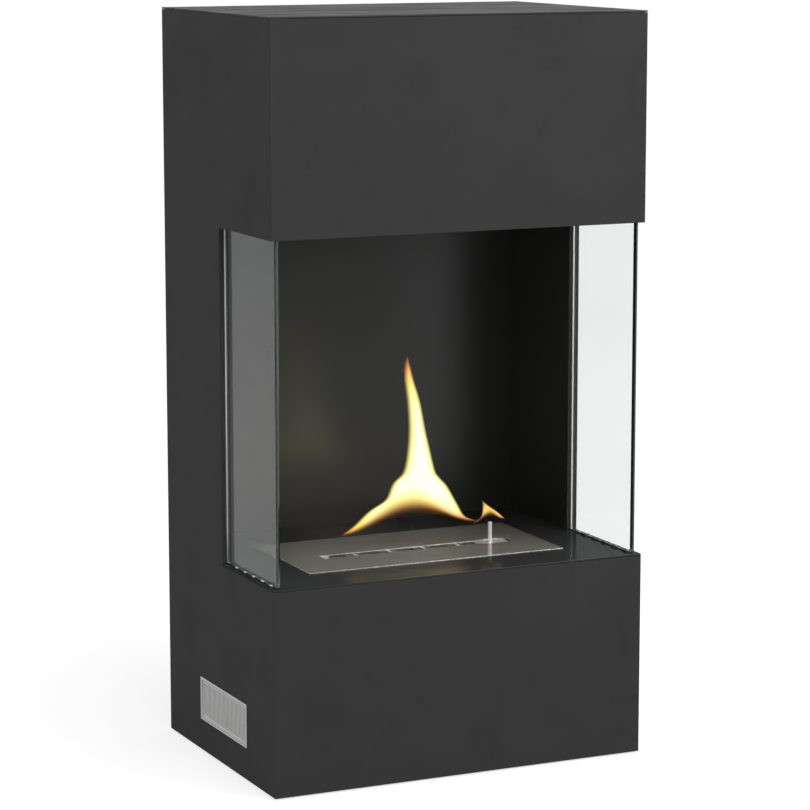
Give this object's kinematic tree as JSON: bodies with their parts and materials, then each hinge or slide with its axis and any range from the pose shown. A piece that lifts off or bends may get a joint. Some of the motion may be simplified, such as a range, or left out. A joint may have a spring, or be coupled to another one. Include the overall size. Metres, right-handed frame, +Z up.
{
  "type": "bioethanol fireplace",
  "caption": "Tall dark steel bioethanol fireplace with a fire opening framed by side glass panes, a drop-in stainless burner with a sliding shutter, and low side air grilles.",
  "frame": {"origin": "on the floor under the middle of the casing", "axes": "+X to the object's right seen from the front, +Y from the front to the back, +Z up; the open front faces -Y"},
  "size_m": [0.48, 0.34, 0.9],
  "materials": {
    "casing_paint": "matt anthracite powder coat with soft mottling",
    "firebox_paint": "satin black heat-resistant paint",
    "zinc_steel": "zinc-plated sheet steel",
    "grille_steel": "satin stainless steel",
    "burner_steel": "brushed stainless steel with a faint heat tint",
    "pane_glass": "clear toughened glass with polished green edges",
    "clear_silicone": "clear silicone",
    "ceramic_wool": "white ceramic wool",
    "glide_rubber": "matt black rubber",
    "flame": "burning gas, drawn only and no solid piece"
  },
  "bodies": {
    "casing": {"left_side_panel": "casing_paint", "right_side_panel": "casing_paint", "lower_front_panel": "casing_paint", "upper_front_panel": "casing_paint", "top_panel": "casing_paint", "base_panel": "casing_paint", "rear_panel": "casing_paint", "hearth_floor": "firebox_paint", "firebox_ceiling": "firebox_paint", "firebox_back_liner": "firebox_paint", "left_column_liner": "firebox_paint", "right_column_liner": "firebox_paint", "lower_left_corner_angle": "zinc_steel", "lower_right_corner_angle": "zinc_steel", "upper_left_corner_angle": "zinc_steel", "upper_right_corner_angle": "zinc_steel", "lower_left_nut": "zinc_steel", "lower_right_nut": "zinc_steel", "upper_left_nut": "zinc_steel", "upper_right_nut": "zinc_steel", "rear_screw_left_1": "zinc_steel", "rear_screw_left_2": "zinc_steel", "rear_screw_left_3": "zinc_steel", "rear_screw_right_1": "zinc_steel", "rear_screw_right_2": "zinc_steel", "rear_screw_right_3": "zinc_steel", "hearth_front_rail": "zinc_steel", "hearth_rear_rail": "zinc_steel", "left_hearth_side_rail": "zinc_steel", "right_hearth_side_rail": "zinc_steel", "left_ceiling_side_rail": "zinc_steel", "right_ceiling_side_rail": "zinc_steel", "burner_well": "zinc_steel", "left_glass_channel": "zinc_steel", "right_glass_channel": "zinc_steel", "left_grille_frame": "grille_steel", "right_grille_frame": "grille_steel", "left_grille_insert": "grille_steel", "right_grille_insert": "grille_steel", "left_glass_pad_strip": "clear_silicone", "right_glass_pad_strip": "clear_silicone", "front_left_glide": "glide_rubber", "front_right_glide": "glide_rubber", "rear_left_glide": "glide_rubber", "rear_right_glide": "glide_rubber"},
    "left_glass": {"left_glass_pane": "pane_glass"},
    "right_glass": {"right_glass_pane": "pane_glass"},
    "burner": {"burner_top_plate": "burner_steel", "fuel_tank": "burner_steel", "burner_deck": "burner_steel", "shutter_front_guide": "burner_steel", "shutter_rear_guide": "burner_steel", "ceramic_wool_pad": "ceramic_wool"},
    "shutter": {"shutter_plate": "burner_steel", "shutter_pin": "burner_steel"}
  },
  "joints": [
    {"name": "left_glass_lift", "type": "slide", "parent": "casing", "child": "left_glass", "axis": [0, 0, 1], "range_m": [0, 0.008]},
    {"name": "right_glass_lift", "type": "slide", "parent": "casing", "child": "right_glass", "axis": [0, 0, 1], "range_m": [0, 0.008]},
    {"name": "burner_lift", "type": "slide", "parent": "casing", "child": "burner", "axis": [0, 0, 1], "range_m": [0, 0.09]},
    {"name": "shutter_slide", "type": "slide", "parent": "burner", "child": "shutter", "axis": [1, 0, 0], "range_m": [-0.0119, 0.0229]}
  ]
}
